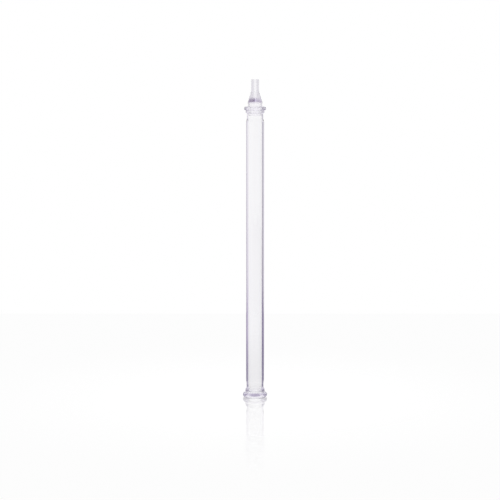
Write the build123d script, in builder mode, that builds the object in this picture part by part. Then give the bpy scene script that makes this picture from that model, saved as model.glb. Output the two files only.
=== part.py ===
"""A plain glass condenser tube, open at the foot, with a hollow hose stopper in its upper neck.

Millimetres, +Z up.  The origin is the centre of the ring that the tube stands on.
"""

import os

from build123d import *

# ---- glass tube: heavy barrel, and necks that are drawn in a little ---------
tube_length = 397.0  # foot to upper rim
barrel_bore = 19.0
barrel_wall = 2.75
neck_bore = 18.6  # straight bore of both necks
mouth_radius = 1.4  # fire-polished edge of the bore at either end
shoulder_height = 4.2  # neck to full barrel diameter
shoulder_radius = 4.0  # the wall flows round each shoulder in arcs of this size, inside and out

# ---- glass tube: upper neck, its rim and the bead under it -------------------
neck_wall = 1.8
neck_length = 16.6  # end of the tube to the start of its shoulder
rim_overhang = 3.7  # beyond the outside of the neck
rim_height = 4.9
rim_bead_stand = 1.7  # beyond the outside of the neck
rim_bead_height = 2.0
rim_bead_run = 0.8  # height over which the bead runs out into the neck

# ---- glass tube: lower neck and its foot, larger than the upper rim ----------
foot_neck_wall = 2.3
foot_neck_length = 18.0
foot_overhang = 4.9
foot_height = 6.2
foot_bead_stand = 1.6
foot_bead_height = 2.8
foot_bead_run = 3.2

# ---- glass tube: the groove between a rim and its bead -----------------------
groove_fall = 0.5  # slope of the rim's inner side, down to the groove
groove_depth = 0.9  # below the crest of the bead
groove_slope = 0.8  # slope from the groove up to the bead
groove_rounding = 0.25
rim_roundness = 0.48  # rounding of a rim's edges, as a share of its height
bead_roundness = 0.48  # rounding of a bead's edges, as a share of its height

# ---- stopper ----------------------------------------------------------------
seat_clearance = 0.05  # radial gap between plug and bore
plug_depth = 12.3  # plug below the upper rim
plug_taper = 0.25  # radius lost from the top of the plug to its end
plug_wall = 1.8  # round the hollow
plug_edge = 0.5
hollow_rise = 6.0  # flat ceiling of the hollow above the upper rim
hollow_corner = 0.8
collar_overhang = 0.65  # widest ring of the stopper, beyond the bore of the neck
collar_rise = 5.6  # widest ring above the upper rim
collar_rounding = 1.4
cone_height = 14.6  # widest ring to the start of the stem
cone_blend = 5.0
stem_length = 16.5
stem_diameter = 10.7
stem_bore = 4.0
stem_edge = 0.6

# ---- worked out -------------------------------------------------------------
barrel_bore_radius = barrel_bore / 2
barrel_radius = barrel_bore_radius + barrel_wall
neck_bore_radius = neck_bore / 2
neck_radius = neck_bore_radius + neck_wall
foot_neck_radius = neck_bore_radius + foot_neck_wall

plug_radius = neck_bore_radius - seat_clearance
plug_end_radius = plug_radius - plug_taper
plug_foot = tube_length - plug_depth
hollow_radius = plug_end_radius - plug_wall
hollow_top = tube_length + hollow_rise
collar_radius = neck_bore_radius + collar_overhang
collar_level = tube_length + collar_rise
stem_foot = collar_level + cone_height
stem_top = stem_foot + stem_length


def end_outside(end, inward, neck, length, overhang, height, bead_stand, bead_height, bead_run):
    """Corners of the outside of one end, from its rim to the barrel: radius, height, rounding."""
    groove = height + groove_fall
    bead = groove + groove_slope
    bead_end = bead + bead_height
    rounding = bead_roundness * bead_height
    corners = [
        (neck + overhang, 0, rim_roundness * height),
        (neck + overhang, height, rim_roundness * height),
        (neck + bead_stand - groove_depth, groove, groove_rounding),
        (neck + bead_stand, bead, rounding),
        (neck + bead_stand, bead_end, rounding),
        (neck, bead_end + bead_run, rounding),
        (neck, length, shoulder_radius),
        (barrel_radius, length + shoulder_height, shoulder_radius),
    ]
    return [(radius, end + inward * depth, rounding) for radius, depth, rounding in corners]


def end_inside(end, inward, length):
    """Corners of the inside of one end, from its mouth to the barrel: radius, height, rounding."""
    corners = [
        (neck_bore_radius, 0, mouth_radius),
        (neck_bore_radius, length, shoulder_radius),
        (barrel_bore_radius, length + shoulder_height, shoulder_radius),
    ]
    return [(radius, end + inward * depth, rounding) for radius, depth, rounding in corners]


def turned(corners):
    """Revolve the outline through these corners, each with its own rounding, about the tube's axis."""
    with BuildSketch(Plane.XZ) as section:
        with BuildLine():
            FilletPolyline(
                [(radius, height) for radius, height, _ in corners],
                radius=[rounding for _, _, rounding in corners],
                close=True,
            )
        make_face()
    revolve(section.sketch, axis=Axis.Z)


os.makedirs("parts", exist_ok=True)

# ---- glass tube: one wall, drawn up its outside and back down its inside ----
foot_outside = end_outside(
    0,
    1,
    foot_neck_radius,
    foot_neck_length,
    foot_overhang,
    foot_height,
    foot_bead_stand,
    foot_bead_height,
    foot_bead_run,
)
rim_outside = end_outside(
    tube_length,
    -1,
    neck_radius,
    neck_length,
    rim_overhang,
    rim_height,
    rim_bead_stand,
    rim_bead_height,
    rim_bead_run,
)
foot_inside = end_inside(0, 1, foot_neck_length)
rim_inside = end_inside(tube_length, -1, neck_length)

with BuildPart() as glass_tube:
    turned(foot_outside + rim_outside[::-1] + rim_inside + foot_inside[::-1])

glass_tube.part.label = "glass_tube"
export_step(glass_tube.part, "parts/glass_tube.step")

# ---- stopper: hollow plug, collar, cone and hose stem, moulded in one -------
with BuildPart() as stopper:
    turned(
        [
            (stem_bore / 2, hollow_top, hollow_corner),
            (hollow_radius, hollow_top, hollow_corner),
            (hollow_radius, plug_foot, plug_edge),
            (plug_end_radius, plug_foot, plug_edge),
            (plug_radius, tube_length, collar_rounding),
            (collar_radius, collar_level, collar_rounding),
            (stem_diameter / 2, stem_foot, cone_blend),
            (stem_diameter / 2, stem_top, stem_edge),
            (stem_bore / 2, stem_top, stem_edge),
        ]
    )

stopper.part.label = "stopper"
export_step(stopper.part, "parts/stopper.step")
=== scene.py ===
"""A plain glass condenser tube with a hollow hose stopper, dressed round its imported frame.

The sizes of each piece are in millimetres, and Blender's objects are in metres.
"""

import logging
import math
from dataclasses import dataclass
from enum import Enum
from typing import Any, Sequence

import bmesh
import bpy
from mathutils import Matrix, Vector


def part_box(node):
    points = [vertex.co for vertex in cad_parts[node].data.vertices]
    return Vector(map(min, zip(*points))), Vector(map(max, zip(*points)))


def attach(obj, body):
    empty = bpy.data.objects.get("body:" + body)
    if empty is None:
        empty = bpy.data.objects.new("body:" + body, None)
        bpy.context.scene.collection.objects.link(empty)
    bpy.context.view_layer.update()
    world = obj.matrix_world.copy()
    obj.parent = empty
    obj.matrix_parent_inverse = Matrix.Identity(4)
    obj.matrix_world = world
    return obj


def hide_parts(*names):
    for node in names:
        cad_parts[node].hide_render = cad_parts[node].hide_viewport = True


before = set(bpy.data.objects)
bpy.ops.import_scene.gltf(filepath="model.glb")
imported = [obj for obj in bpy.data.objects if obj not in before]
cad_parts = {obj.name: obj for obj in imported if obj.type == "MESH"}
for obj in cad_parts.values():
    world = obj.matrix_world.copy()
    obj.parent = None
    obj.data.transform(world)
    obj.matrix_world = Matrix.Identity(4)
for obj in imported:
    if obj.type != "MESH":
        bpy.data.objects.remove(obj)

log = logging.getLogger("condenser")

MM = 0.001
NEVER_ZERO = 1e-9
Colour = tuple[float, float, float]
Span = tuple[float, float]


class Body(Enum):
    """The bodies of the frame that the pieces ride on."""

    TUBE = "tube"
    STOPPER = "stopper"


class Slot(Enum):
    """The finishes that the record names."""

    GLASS = "clear_glass"
    PLASTIC = "milky_plastic"


# ---------------------------------------------------------------- shader maths


class Wire:
    """A node's output socket that takes part in Python expressions."""

    def __init__(self, shop: "NodeShop", socket: bpy.types.NodeSocket) -> None:
        """Keep the socket and the tree that it belongs to.

        Args:
            shop: The maker of the tree's nodes.
            socket: The output socket.
        """
        self.shop = shop
        self.socket = socket

    def _math(self, operation: str, first: Any, second: Any) -> "Wire":
        """Add one Math node.

        Args:
            operation: The node's operation.
            first: Its first value or link.
            second: Its second value or link.

        Returns:
            The node's result.
        """
        return self.shop.node("ShaderNodeMath", {"operation": operation}, {0: first, 1: second})

    def __add__(self, other: Any) -> "Wire":
        """Sum."""
        return self._math("ADD", self, other)

    __radd__ = __add__

    def __sub__(self, other: Any) -> "Wire":
        """Difference."""
        return self._math("SUBTRACT", self, other)

    def __rsub__(self, other: Any) -> "Wire":
        """Difference, the other way round."""
        return self._math("SUBTRACT", other, self)

    def __mul__(self, other: Any) -> "Wire":
        """Product."""
        return self._math("MULTIPLY", self, other)

    __rmul__ = __mul__

    def __truediv__(self, other: Any) -> "Wire":
        """Quotient."""
        return self._math("DIVIDE", self, other)

    def sibling(self, output: str | int) -> "Wire":
        """Another output of the same node."""
        return Wire(self.shop, self.socket.node.outputs[output])

    def above(self, level: float) -> "Wire":
        """1 where the value is above the level, and 0 elsewhere."""
        return self._math("GREATER_THAN", self, level)

    def ramp(self, low: float, high: float) -> "Wire":
        """Smooth step from 0 at one value to 1 at another.

        Args:
            low: The value that gives 0.
            high: The value that gives 1.

        Returns:
            The step.
        """
        settings = {"interpolation_type": "SMOOTHSTEP"}
        return self.shop.node(
            "ShaderNodeMapRange", settings, {"Value": self, "From Min": low, "From Max": high}
        )


class NodeShop:
    """Makes and links the nodes of one tree."""

    def __init__(self, tree: bpy.types.NodeTree) -> None:
        """Empty the tree.

        Args:
            tree: The node tree of a material or a world.
        """
        self.tree = tree
        tree.nodes.clear()

    def node(
        self,
        kind: str,
        settings: dict[str, Any] | None = None,
        inputs: dict[str | int, Any] | None = None,
        output: str | int = 0,
    ) -> Wire:
        """Add a node, set it and feed it.

        Args:
            kind: The node's type.
            settings: Attributes of the node, set before its sockets.
            inputs: Values or wires, by the socket's name or number.
            output: The socket that is wanted.

        Returns:
            The wire from that socket.
        """
        made = self.tree.nodes.new(kind)
        for name, value in (settings or {}).items():
            setattr(made, name, value)
        for key, value in (inputs or {}).items():
            if isinstance(value, Wire):
                self.tree.links.new(value.socket, made.inputs[key])
            else:
                made.inputs[key].default_value = value
        return Wire(self, made.outputs[output] if len(made.outputs) else None)

    def mix(self, factor: Any, first: Any, second: Any) -> Wire:
        """Blend two colours.

        Args:
            factor: The share of the second.
            first: A colour or a wire.
            second: A colour or a wire.

        Returns:
            The blended colour.
        """
        made = self.tree.nodes.new("ShaderNodeMix")
        made.data_type = "RGBA"
        sockets = {"Factor_Float": factor, "A_Color": first, "B_Color": second}
        for name, value in sockets.items():
            socket = next(s for s in made.inputs if s.identifier == name)
            if isinstance(value, Wire):
                self.tree.links.new(value.socket, socket)
            elif name == "Factor_Float":
                socket.default_value = value
            else:
                socket.default_value = (*value, 1.0)
        return Wire(self, next(s for s in made.outputs if s.identifier == "Result_Color"))

    def place(self, along: float = 1.0) -> Wire:
        """Object coordinates, in metres, scaled along the tube's axis."""
        where = self.node("ShaderNodeTexCoord", output="Object")
        return self.node("ShaderNodeMapping", {}, {"Vector": where, "Scale": (1.0, 1.0, along)})

    def noise(self, where: Wire, scale: float, detail: float = 2.0) -> Wire:
        """Smooth noise from 0 to 1.

        Args:
            where: The coordinates.
            scale: Waves per metre.
            detail: Octaves.

        Returns:
            The noise.
        """
        return self.node(
            "ShaderNodeTexNoise", {}, {"Vector": where, "Scale": scale, "Detail": detail}, output="Fac"
        )


def new_material(name: str) -> tuple[bpy.types.Material, NodeShop]:
    """Make an empty node material.

    Args:
        name: Its name.

    Returns:
        The material and the maker of its nodes.
    """
    material = bpy.data.materials.new(name)
    material.use_nodes = True
    return material, NodeShop(material.node_tree)


# -------------------------------------------------------------------- finishes


@dataclass(frozen=True)
class Absorption:
    """How light loses its strength on the way through a finish."""

    colour: Colour
    density: float

    def close(self, shop: NodeShop, index: float, colour: Wire, roughness: Wire, bump: Wire) -> None:
        """End a finish's tree with a see-through body that absorbs light.

        Args:
            shop: The maker of the finish's nodes.
            index: Its refractive index.
            colour: Its colour.
            roughness: Its roughness.
            bump: The bump that turns its normals.
        """
        body = {
            "Base Color": colour,
            "Roughness": roughness,
            "IOR": index,
            "Transmission Weight": 1.0,
            "Normal": bump,
        }
        surface = shop.node("ShaderNodeBsdfPrincipled", {}, body)
        inside = {"Color": (*self.colour, 1.0), "Density": self.density}
        volume = shop.node("ShaderNodeVolumeAbsorption", {}, inside)
        shop.node("ShaderNodeOutputMaterial", {}, {"Surface": surface, "Volume": volume})


@dataclass(frozen=True)
class ClearGlass:
    """Borosilicate glass, drawn and fire-polished."""

    clear: Colour = (1.0, 1.0, 1.0)
    drawn: Colour = (0.985, 0.984, 0.988)
    index: float = 1.473
    absorbs: Absorption = Absorption((0.9, 0.89, 0.93), 60.0)
    clean: float = 0.0
    handled: float = 0.0035
    draw_lines: float = 520.0
    draw_stretch: float = 0.03
    draw_edges: Span = (0.35, 0.75)
    draw_height: float = 0.2
    wave: float = 30.0
    wave_stretch: float = 0.4
    smear: float = 38.0
    smear_stretch: float = 0.35
    smear_edges: Span = (0.56, 0.78)
    bump: float = 0.012
    bump_height: float = 0.2

    def material(self) -> bpy.types.Material:
        """Build the material.

        Returns:
            The glass.
        """
        made, shop = new_material("clear_glass")
        lines = shop.noise(shop.place(self.draw_stretch), self.draw_lines, 3.0)
        waves = shop.noise(shop.place(self.wave_stretch), self.wave, 1.0)
        smears = shop.noise(shop.place(self.smear_stretch), self.smear, 4.0).ramp(*self.smear_edges)
        colour = shop.mix(lines.ramp(*self.draw_edges), self.clear, self.drawn)
        roughness = smears * (self.handled - self.clean) + self.clean
        height = lines * self.draw_height + waves
        relief = {"Strength": self.bump, "Distance": self.bump_height * MM, "Height": height}
        bump = shop.node("ShaderNodeBump", {}, relief)
        self.absorbs.close(shop, self.index, colour, roughness, bump)
        return made


@dataclass(frozen=True)
class MilkyPlastic:
    """Milky plastic, moulded: half clear and a little cloudy.

    The sizes of the web's painted shade band and of the painted light stripe across it are in millimetres,
    and the bump's height too.
    """

    clear: Colour = (0.995, 0.992, 1.0)
    cloudy: Colour = (0.98, 0.976, 0.988)
    index: float = 1.44
    satin: float = 0.12
    worn: float = 0.15
    absorbs: Absorption = Absorption((0.6, 0.54, 0.66), 15.0)
    grain: float = 900.0
    cloud: float = 110.0
    cloud_stretch: float = 0.5
    cloud_edges: Span = (0.35, 0.7)
    worn_edges: Span = (0.3, 0.75)
    bump: float = 0.002
    bump_height: float = 0.05
    web_edge: float = 0.3
    web_full: float = 1.2
    web_shade_left: Colour = (0.42, 0.36, 0.49)
    web_shade_right: Colour = (0.61, 0.55, 0.69)
    light_stripe: Colour = (0.86, 0.83, 0.93)
    side_start: float = -1.0
    stripe_left: float = -0.8
    stripe_right: float = 3.4
    stripe_edge: float = 1.0

    def material(self, web_foot: float, web_top: float) -> bpy.types.Material:
        """Build the material.

        Args:
            web_foot: Level of the flat ceiling of the hollow, in millimetres.
            web_top: Level where the thick web over the hollow has thinned out, in millimetres.

        Returns:
            The plastic.
        """
        made, shop = new_material("milky_plastic")
        clouds = shop.noise(shop.place(self.cloud_stretch), self.cloud, 3.0)
        grain = shop.noise(shop.place(), self.grain, 2.0)
        milky = shop.mix(clouds.ramp(*self.cloud_edges), self.clear, self.cloudy)
        where = shop.node("ShaderNodeTexCoord", output="Object")
        x = shop.node("ShaderNodeSeparateXYZ", {}, {"Vector": where}, output="X")
        level = x.sibling("Z")
        # Painted shade: over the thick web above the hollow the plastic is coloured darker, more to the left
        # than the right, for the dark surroundings that the web refracts.
        foot = level.ramp((web_foot - self.web_edge) * MM, (web_foot + self.web_edge) * MM)
        shade_band = foot * (1.0 - level.ramp((web_foot + self.web_full) * MM, web_top * MM))
        # Painted light: a pale stripe across the painted shade, where the bore lets light through the web.
        start, end = self.stripe_left * MM, self.stripe_right * MM
        blur = self.stripe_edge * MM
        sides = shop.mix(x.ramp(self.side_start * MM, start), self.web_shade_left, self.web_shade_right)
        light_stripe = x.ramp(start, start + blur) * (1.0 - x.ramp(end - blur, end))
        painted_web_shade = shop.mix(light_stripe, sides, self.light_stripe)
        colour = shop.mix(shade_band, milky, painted_web_shade)
        roughness = clouds.ramp(*self.worn_edges) * (self.worn - self.satin) + self.satin
        relief = {"Strength": self.bump, "Distance": self.bump_height * MM, "Height": grain}
        bump = shop.node("ShaderNodeBump", {}, relief)
        self.absorbs.close(shop, self.index, colour, roughness, bump)
        return made


# ----------------------------------------------------------------------- lathe


@dataclass(frozen=True)
class Corner:
    """A corner of a turned outline, in millimetres."""

    radius: float
    height: float
    rounding: float

    def placed(self, mouth: float, inward: float) -> "Corner":
        """The corner at its real level, from its depth past a mouth.

        Args:
            mouth: Level of the mouth.
            inward: 1 where the tube goes up from there, and -1 where it goes down.

        Returns:
            The corner.
        """
        return Corner(self.radius, mouth + inward * self.height, self.rounding)


@dataclass(frozen=True)
class Lathe:
    """Turns a closed outline about the tube's axis into one smooth mesh."""

    steps: int = 160
    arc_segments: int = 8
    longest: float = 12.0
    weld: float = 0.0001

    def turn(self, name: str, corners: Sequence[Corner]) -> bpy.types.Object:
        """Round the corners, turn the outline and make an object of it.

        Args:
            name: The object's name.
            corners: The outline's corners, in order round it.

        Returns:
            The object, at the origin.
        """
        mesh = bmesh.new()
        self._draw(mesh, corners)
        self._divide(mesh)
        bmesh.ops.spin(
            mesh,
            geom=mesh.verts[:] + mesh.edges[:],
            cent=(0.0, 0.0, 0.0),
            axis=(0.0, 0.0, 1.0),
            angle=math.tau,
            steps=self.steps,
            use_merge=True,
        )
        bmesh.ops.remove_doubles(mesh, verts=mesh.verts[:], dist=self.weld * MM)
        bmesh.ops.recalc_face_normals(mesh, faces=mesh.faces[:])
        for face in mesh.faces:
            face.smooth = True
        data = bpy.data.meshes.new(name)
        mesh.to_mesh(data)
        mesh.free()
        piece = bpy.data.objects.new(name, data)
        bpy.context.scene.collection.objects.link(piece)
        return piece

    def _draw(self, mesh: bmesh.types.BMesh, corners: Sequence[Corner]) -> None:
        """Draw the outline as a closed wire and round each corner to its radius.

        Args:
            mesh: The mesh that takes the wire.
            corners: The outline's corners.
        """
        verts = [mesh.verts.new((c.radius * MM, 0.0, c.height * MM)) for c in corners]
        places = [v.co.copy() for v in verts]
        for first, second in zip(verts, verts[1:] + verts[:1]):
            mesh.edges.new((first, second))
        for k, (vert, corner) in enumerate(zip(verts, corners)):
            here = places[k]
            turn = (here - places[k - 1]).angle(places[(k + 1) % len(places)] - here)
            bmesh.ops.bevel(
                mesh,
                geom=[vert],
                offset=corner.rounding * MM * math.tan(turn / 2),
                offset_type="OFFSET",
                segments=self.arc_segments,
                profile=0.5,
                affect="VERTICES",
                material=-1,
            )

    def _divide(self, mesh: bmesh.types.BMesh) -> None:
        """Cut the long straight runs, so that shading stays true beside each rounded corner.

        Args:
            mesh: The mesh that holds the outline.
        """
        for edge in mesh.edges[:]:
            cuts = int(edge.calc_length() / (self.longest * MM))
            if cuts:
                bmesh.ops.subdivide_edges(mesh, edges=[edge], cuts=cuts)


def fit(piece: bpy.types.Object, material: bpy.types.Material, body: Body, node: str) -> None:
    """Dress a piece and tie it to the frame.

    Args:
        piece: The object.
        material: Its finish.
        body: The body that it moves with.
        node: The plain solid that it stands for.
    """
    piece.data.materials.append(material)
    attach(piece, body.value)
    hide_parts(node)
    log.info("%s: %d faces, rides on %s", piece.name, len(piece.data.polygons), body.value)


# ---------------------------------------------------------------------- pieces


@dataclass(frozen=True)
class TubeEnd:
    """One end of the tube: its rolled rim, the bead beside it and its neck, in millimetres."""

    neck_wall: float
    neck_length: float
    overhang: float
    height: float
    bead_stand: float
    bead_height: float
    bead_run: float
    groove_fall: float = 0.5
    groove_depth: float = 0.9
    groove_slope: float = 0.8
    groove_rounding: float = 0.25
    roundness: float = 0.48

    def inside(self, bore: float, mouth: float, barrel: float, shoulder: float, flow: float) -> list[Corner]:
        """Inside of the end, by depth from its mouth, as far as the barrel.

        Args:
            bore: Radius of the neck's bore.
            mouth: Rounding of the mouth.
            barrel: Radius of the barrel's bore.
            shoulder: Length of the slope from neck to barrel.
            flow: Radius of the arcs at either side of that slope.

        Returns:
            The corners, from the mouth inward.
        """
        return [
            Corner(bore, 0.0, mouth),
            Corner(bore, self.neck_length, flow),
            Corner(barrel, self.neck_length + shoulder, flow),
        ]

    def outside(self, bore: float, barrel: float, shoulder: float, flow: float) -> list[Corner]:
        """Outside of the end, by depth from its mouth, as far as the barrel.

        Args:
            bore: Radius of the neck's bore.
            barrel: Outside radius of the barrel.
            shoulder: Length of the slope from neck to barrel.
            flow: Radius of the arcs at either side of that slope.

        Returns:
            The corners, from the mouth inward.
        """
        neck = bore + self.neck_wall
        groove = self.height + self.groove_fall
        bead = groove + self.groove_slope
        bead_end = bead + self.bead_height
        edge = self.roundness * self.height
        crest = self.roundness * self.bead_height
        return [
            Corner(neck + self.overhang, 0.0, edge),
            Corner(neck + self.overhang, self.height, edge),
            Corner(neck + self.bead_stand - self.groove_depth, groove, self.groove_rounding),
            Corner(neck + self.bead_stand, bead, crest),
            Corner(neck + self.bead_stand, bead_end, crest),
            Corner(neck, bead_end + self.bead_run, crest),
            Corner(neck, self.neck_length, flow),
            Corner(barrel, self.neck_length + shoulder, flow),
        ]


@dataclass(frozen=True)
class GlassTube:
    """The glass: foot rim, lower neck, barrel, upper neck and upper rim in one piece."""

    foot_level: float
    rim_level: float
    neck_bore: float = 9.3
    barrel_bore: float = 9.5
    barrel_wall: float = 2.75
    shoulder_height: float = 4.2
    shoulder_rounding: float = 4.0
    bore_rounding: float = 40.0
    mouth_rounding: float = 1.4
    foot: TubeEnd = TubeEnd(
        neck_wall=2.3,
        neck_length=18.0,
        overhang=4.9,
        height=6.2,
        bead_stand=1.6,
        bead_height=2.8,
        bead_run=3.2,
    )
    rim: TubeEnd = TubeEnd(
        neck_wall=1.8,
        neck_length=16.6,
        overhang=3.7,
        height=4.9,
        bead_stand=1.7,
        bead_height=2.0,
        bead_run=0.8,
    )

    def outside(self, end: TubeEnd) -> list[Corner]:
        """Outside of one end, by depth from its mouth."""
        barrel = self.barrel_bore + self.barrel_wall
        return end.outside(self.neck_bore, barrel, self.shoulder_height, self.shoulder_rounding)

    def inside(self, end: TubeEnd) -> list[Corner]:
        """Inside of one end, by depth from its mouth."""
        bores = self.neck_bore, self.mouth_rounding, self.barrel_bore
        return end.inside(*bores, self.shoulder_height, self.bore_rounding)

    def outline(self) -> list[Corner]:
        """The whole wall, up its outside and back down its inside.

        Returns:
            The outline's corners.
        """
        foot_up = [c.placed(self.foot_level, 1.0) for c in self.outside(self.foot)]
        rim_down = [c.placed(self.rim_level, -1.0) for c in self.outside(self.rim)]
        bore_down = [c.placed(self.rim_level, -1.0) for c in self.inside(self.rim)]
        bore_up = [c.placed(self.foot_level, 1.0) for c in self.inside(self.foot)]
        return foot_up + rim_down[::-1] + bore_down + bore_up[::-1]

    def build(self, lathe: Lathe) -> bpy.types.Object:
        """Turn the wall.

        Args:
            lathe: The lathe.

        Returns:
            The glass tube.
        """
        return lathe.turn("blown_tube", self.outline())

    def dress(self, piece: bpy.types.Object, finish: ClearGlass) -> None:
        """Give the tube its glass and its place in the frame.

        Args:
            piece: The glass tube.
            finish: Its glass.
        """
        fit(piece, finish.material(), Body.TUBE, "glass_tube")


@dataclass(frozen=True)
class HoseStopper:
    """The moulded stopper: hollow plug, collar, cone and hose stem in one piece."""

    plug_foot: float
    rim_level: float
    stem_top: float
    plug_radius: float = 9.25
    plug_taper: float = 0.25
    plug_wall: float = 1.8
    plug_edge: float = 0.5
    hollow_rise: float = 6.0
    hollow_corner: float = 0.8
    collar_radius: float = 9.95
    collar_rise: float = 5.6
    collar_rounding: float = 1.4
    cone_height: float = 14.6
    cone_blend: float = 5.0
    web_rise: float = 12.4
    stem_radius: float = 5.35
    stem_bore: float = 2.0
    stem_edge: float = 0.6

    def outline(self) -> list[Corner]:
        """The moulding's wall: down its inside, round the plug's end and up its outside.

        Returns:
            The outline's corners.
        """
        plug_end = self.plug_radius - self.plug_taper
        hollow = plug_end - self.plug_wall
        ceiling = self.rim_level + self.hollow_rise
        collar = self.rim_level + self.collar_rise
        return [
            Corner(self.stem_bore, ceiling, self.hollow_corner),
            Corner(hollow, ceiling, self.hollow_corner),
            Corner(hollow, self.plug_foot, self.plug_edge),
            Corner(plug_end, self.plug_foot, self.plug_edge),
            Corner(self.plug_radius, self.rim_level, self.collar_rounding),
            Corner(self.collar_radius, collar, self.collar_rounding),
            Corner(self.stem_radius, collar + self.cone_height, self.cone_blend),
            Corner(self.stem_radius, self.stem_top, self.stem_edge),
            Corner(self.stem_bore, self.stem_top, self.stem_edge),
        ]

    def build(self, lathe: Lathe) -> bpy.types.Object:
        """Turn the moulding.

        Args:
            lathe: The lathe.

        Returns:
            The stopper.
        """
        return lathe.turn("moulded_stopper", self.outline())

    def dress(self, piece: bpy.types.Object, finish: MilkyPlastic) -> None:
        """Give the stopper its plastic and its place in the frame.

        Args:
            piece: The stopper.
            finish: Its plastic.
        """
        web_foot = self.rim_level + self.hollow_rise
        material = finish.material(web_foot, self.rim_level + self.web_rise)
        fit(piece, material, Body.STOPPER, "stopper")


# ---------------------------------------------------------------------- studio


SIDE_SPAN: Span = (0.3, 0.65)

# Surfaces that a ray passes on its way through the pieces.
INTO_WALL = 1
THROUGH_WALL = 2
THROUGH_TUBE = 4
THROUGH_PLUG = 6

# Surfaces that a ray meets, at which the tube's edges turn light, dim again, and light again.
EDGE_LIGHT = 2
EDGE_DIM = 3
EDGE_LIGHT_AGAIN = 7


class Route:
    """How a ray of light has travelled before it reaches the bench or the walls."""

    def __init__(self, shop: NodeShop) -> None:
        """Add the tree's Light Path node.

        Args:
            shop: The maker of the tree's nodes.
        """
        self.seen = shop.node("ShaderNodeLightPath", output="Is Camera Ray")
        self.scattered = self.seen.sibling("Is Diffuse Ray")
        self.sharp = self.seen.sibling("Is Singular Ray")
        self.length = self.seen.sibling("Ray Length")
        self.surfaces = self.seen.sibling("Ray Depth")
        self.passes = self.seen.sibling("Transmission Depth")

    def passed(self, surface: int) -> Wire:
        """1 once the ray has passed through this many surfaces."""
        return self.passes.above(surface - 0.5)

    def met(self, surface: int) -> Wire:
        """1 once the ray has met this many surfaces, whether it passed them or was turned back."""
        return self.surfaces.above(surface - 0.5)

    def turned(self) -> Wire:
        """1 if the ray met one surface, or three to six, and 0 if it met two, or seven or more."""
        return 1.0 - self.met(EDGE_LIGHT) * (1.0 - self.met(EDGE_DIM)) - self.met(EDGE_LIGHT_AGAIN)


def across(shop: NodeShop, where: Wire, left: Colour, middle: Colour, right: Colour) -> Wire:
    """Grade a colour from left to right.

    Args:
        shop: The maker of the tree's nodes.
        where: Direction to the right, from -1 to 1.
        left: The colour well to the left.
        middle: The colour in between.
        right: The colour well to the right.

    Returns:
        The colour.
    """
    near, far = SIDE_SPAN
    return shop.mix(where.ramp(near, far), shop.mix(where.ramp(-far, -near), left, middle), right)


def eightfold(x: Wire, y: Wire) -> Wire:
    """Rise from 0 towards each eighth of a turn to 1 half way between two of them.

    Args:
        x: Distance to the right.
        y: Distance to the back.

    Returns:
        The square of the sine of four times the bearing.
    """
    flat = x * x + y * y + NEVER_ZERO
    double_sine = x * y * 2.0 / flat
    double_cosine = (y * y - x * x) / flat
    return (double_sine * double_cosine) * (double_sine * double_cosine) * 4.0


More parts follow.
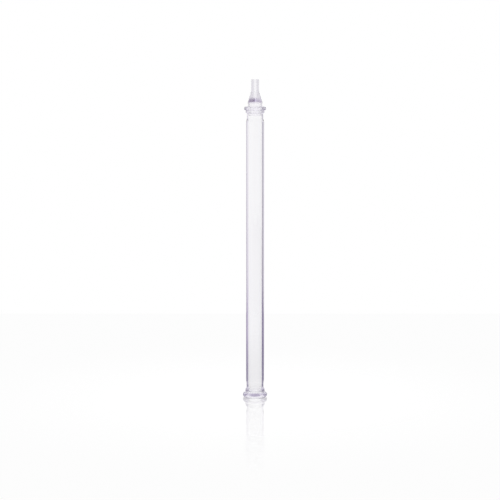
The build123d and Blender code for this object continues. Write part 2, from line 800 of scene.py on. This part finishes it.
@dataclass(frozen=True)
class Bench:
    """A white light table, polished, that ends some way behind the tube.  Its sizes are in metres.

    The gap colours are what a glass wall shows of it.  The camera sees it plain white.
    """

    half_width: float = 3.0
    front: float = -3.2
    back: float = 0.876
    drop: float = 0.00005
    white: Colour = (0.95, 0.95, 0.95)
    glow: float = 0.975
    near_glow: float = 0.89
    far_glow: float = 0.99
    reach: float = 0.8
    dip: float = 0.07
    centre: float = 0.0001
    gap_reach: Span = (0.1, 0.7)
    slope: Span = (0.965, 0.98)
    clear_of_foot: Span = (0.02, 0.045)
    inside_foot: Span = (0.005, 0.0095)
    left_gap: Colour = (0.54, 0.48, 0.64)
    middle_gap: Colour = (0.3, 0.25, 0.38)
    right_gap: Colour = (0.16, 0.12, 0.24)
    close_gap: float = 0.3
    close_hue: Colour = (0.03, 0.0, 0.12)
    steep: Colour = (0.66, 0.61, 0.74)
    foot_shadow: Colour = (0.42, 0.36, 0.53)
    milk: Colour = (0.8, 0.79, 0.82)
    matt: float = 0.12
    gloss: float = 0.48
    dulled: float = 0.7
    gloss_near: float = 0.03
    gloss_far: float = 0.5
    polish: float = 0.025

    def build(self) -> bpy.types.Object:
        """Make the table top.

        Returns:
            The table top.
        """
        mesh = bmesh.new()
        bmesh.ops.create_grid(mesh, x_segments=1, y_segments=1, size=1.0)
        depth = (self.back - self.front) / 2
        bmesh.ops.scale(mesh, verts=mesh.verts[:], vec=(self.half_width, depth, 1.0))
        middle = Vector((0.0, self.front + depth, -self.drop))
        bmesh.ops.translate(mesh, verts=mesh.verts[:], vec=middle)
        data = bpy.data.meshes.new("bench")
        mesh.to_mesh(data)
        mesh.free()
        bench = bpy.data.objects.new("bench", data)
        bpy.context.scene.collection.objects.link(bench)
        bench.data.materials.append(self.material())
        return bench

    def material(self) -> bpy.types.Material:
        """Opal glow under a polish that fades out away from the tube.

        Returns:
            The bench's finish.
        """
        made, shop = new_material("bench_white")
        where = shop.node("ShaderNodeTexCoord", output="Object")
        away = shop.node("ShaderNodeVectorMath", {"operation": "LENGTH"}, {0: where}, output="Value")
        x = shop.node("ShaderNodeSeparateXYZ", {}, {"Vector": where}, output="X")
        y = x.sibling("Y")
        route = Route(shop)
        polish = (1.0 - away.ramp(self.gloss_near, self.gloss_far)) * self.gloss
        polish = polish * (1.0 - route.passed(INTO_WALL) * self.dulled)
        glow = away.ramp(0.0, self.reach) * (self.far_glow - self.near_glow) + self.near_glow
        glow = glow * (1.0 - eightfold(x, y) * self.dip)
        lit = shop.node("ShaderNodeCombineColor", {}, {0: glow, 1: glow, 2: glow})
        gap = across(shop, x / (away + self.centre), self.left_gap, self.middle_gap, self.right_gap)
        far = away.ramp(*self.gap_reach) * (1.0 - self.close_gap) + self.close_gap
        gap = shop.mix(far, self.close_hue, gap)
        shallow = (away / route.length).ramp(*self.slope)
        edge = shop.mix(shallow * route.turned() * away.ramp(*self.clear_of_foot), self.steep, gap)
        hazy = shop.mix(route.passed(INTO_WALL), lit, self.milk)
        # Painted shadow: rays that have passed through the glass wall see the table darker inside the foot
        # ring.
        shade = route.passed(THROUGH_WALL) * (1.0 - away.ramp(*self.inside_foot))
        edge = shop.mix(shade, edge, self.foot_shadow)
        wall = 1.0 - route.passed(THROUGH_TUBE)
        unseen = shop.mix(wall, lit, shop.mix(route.sharp, hazy, edge))
        colour = shop.mix(route.seen, unseen, (self.glow,) * 3)
        opal = shop.node("ShaderNodeEmission", {}, {"Color": colour, "Strength": 1.0})
        white = shop.node("ShaderNodeBsdfDiffuse", {}, {"Color": (*self.white, 1.0)})
        body = shop.node("ShaderNodeMixShader", {}, {0: self.matt, 1: opal, 2: white})
        mirror = shop.node(
            "ShaderNodeBsdfGlossy", {}, {"Color": (1.0, 1.0, 1.0, 1.0), "Roughness": self.polish}
        )
        surface = shop.node("ShaderNodeMixShader", {}, {0: polish, 1: body, 2: mirror})
        shop.node("ShaderNodeOutputMaterial", {}, {"Surface": surface})
        return made


@dataclass(frozen=True)
class Studio:
    """A ring of tall soft panels with dim gaps between them, and the camera.  Sizes are in metres.

    The gap colours are what a glass wall sends on.  The camera sees the panels plain white.  The low
    and level spans are heights of the light's direction, from -1 to 1.
    """

    distance: float = 2.125
    aside: float = -0.0069
    eye: float = 0.394
    aim: float = 0.2023
    lens: float = 112.7
    backdrop: float = 1.0
    fill: float = 1.08
    panel: float = 1.055
    deep: float = 1.06
    steep: Colour = (0.89, 0.87, 0.92)
    mirrored: float = 0.93
    bounces: int = 128
    dip: float = 0.02
    gap_left: Colour = (0.89, 0.88, 0.91)
    gap_middle: Colour = (0.64, 0.62, 0.67)
    gap_right: Colour = (0.5, 0.48, 0.54)
    low_blend: Span = (-0.13, 0.02)
    level_start: Span = (-0.2, -0.14)
    level_end: Span = (0.06, 0.12)
    low_left: Colour = (0.76, 0.73, 0.81)
    low_middle: Colour = (0.5, 0.47, 0.54)
    low_right: Colour = (0.4, 0.37, 0.44)
    milk: Colour = (0.8, 0.79, 0.82)

    def camera(self) -> bpy.types.Object:
        """Set up the camera, level with the top of the tube and turned down a little.

        Returns:
            The camera.
        """
        data = bpy.data.cameras.new("camera")
        data.lens = self.lens
        camera = bpy.data.objects.new("camera", data)
        bpy.context.scene.collection.objects.link(camera)
        camera.location = (self.aside, -self.distance, self.eye)
        look = Vector((self.aside, 0.0, self.aim)) - camera.location
        camera.rotation_euler = look.to_track_quat("-Z", "Y").to_euler()
        bpy.context.scene.camera = camera
        return camera

    def world(self) -> None:
        """Light the scene from all round, with dim gaps that only a glass wall sends light from."""
        world = bpy.data.worlds.new("studio")
        bpy.context.scene.world = world
        world.use_nodes = True
        shop = NodeShop(world.node_tree)
        seen = shop.node("ShaderNodeTexCoord", output="Generated")
        x = shop.node("ShaderNodeSeparateXYZ", {}, {"Vector": seen}, output="X")
        y = x.sibling("Y")
        z = x.sibling("Z")
        side = across(shop, x, self.gap_left, self.gap_middle, self.gap_right)
        low = across(shop, x, self.low_left, self.low_middle, self.low_right)
        dim = shop.mix(z.ramp(*self.low_blend), low, side)
        route = Route(shop)
        level = z.ramp(*self.level_start) * (1.0 - z.ramp(*self.level_end))
        gap = shop.mix(level * route.turned(), self.steep, dim)
        clear = (1.0 - eightfold(x, y) * self.dip) * self.panel
        clear = clear * (route.passed(THROUGH_PLUG) * (self.deep - 1.0) + 1.0)
        mirrored = (route.surfaces - route.passes).above(0.5) * route.passed(INTO_WALL)
        clear = clear * (mirrored * (self.mirrored - 1.0) + 1.0)
        panel = shop.node("ShaderNodeCombineColor", {}, {0: clear, 1: clear, 2: clear})
        hazy = shop.mix(route.passed(INTO_WALL), panel, self.milk)
        wall = 1.0 - route.passed(THROUGH_TUBE)
        ring = shop.mix(wall, panel, shop.mix(route.sharp, hazy, gap))
        even = shop.mix(route.scattered, ring, (self.fill,) * 3)
        colour = shop.mix(route.seen, even, (self.backdrop,) * 3)
        light = shop.node("ShaderNodeBackground", {}, {"Color": colour, "Strength": 1.0})
        shop.node("ShaderNodeOutputWorld", {}, {"Surface": light})

    def view(self) -> None:
        """Show colours as they are, and follow light right through solid rings of glass."""
        light_paths = bpy.context.scene.cycles
        light_paths.max_bounces = self.bounces
        light_paths.glossy_bounces = self.bounces
        light_paths.transmission_bounces = self.bounces
        bpy.context.scene.view_settings.view_transform = "Standard"
        bpy.context.scene.view_settings.look = "None"


# ------------------------------------------------------------------------ main


def main() -> None:
    """Build the pieces and the studio round the frame."""
    logging.basicConfig(level=logging.INFO, format="%(name)s: %(message)s")
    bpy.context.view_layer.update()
    tube_low, tube_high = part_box("glass_tube")
    stopper_low, stopper_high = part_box("stopper")

    studio = Studio()
    studio.camera()
    studio.world()
    studio.view()
    Bench().build()

    lathe = Lathe()
    tube = GlassTube(foot_level=tube_low.z / MM, rim_level=tube_high.z / MM)
    tube.dress(tube.build(lathe), ClearGlass())
    stopper = HoseStopper(
        plug_foot=stopper_low.z / MM, rim_level=tube_high.z / MM, stem_top=stopper_high.z / MM
    )
    stopper.dress(stopper.build(lathe), MilkyPlastic())


if __name__ == "__main__":
    main()
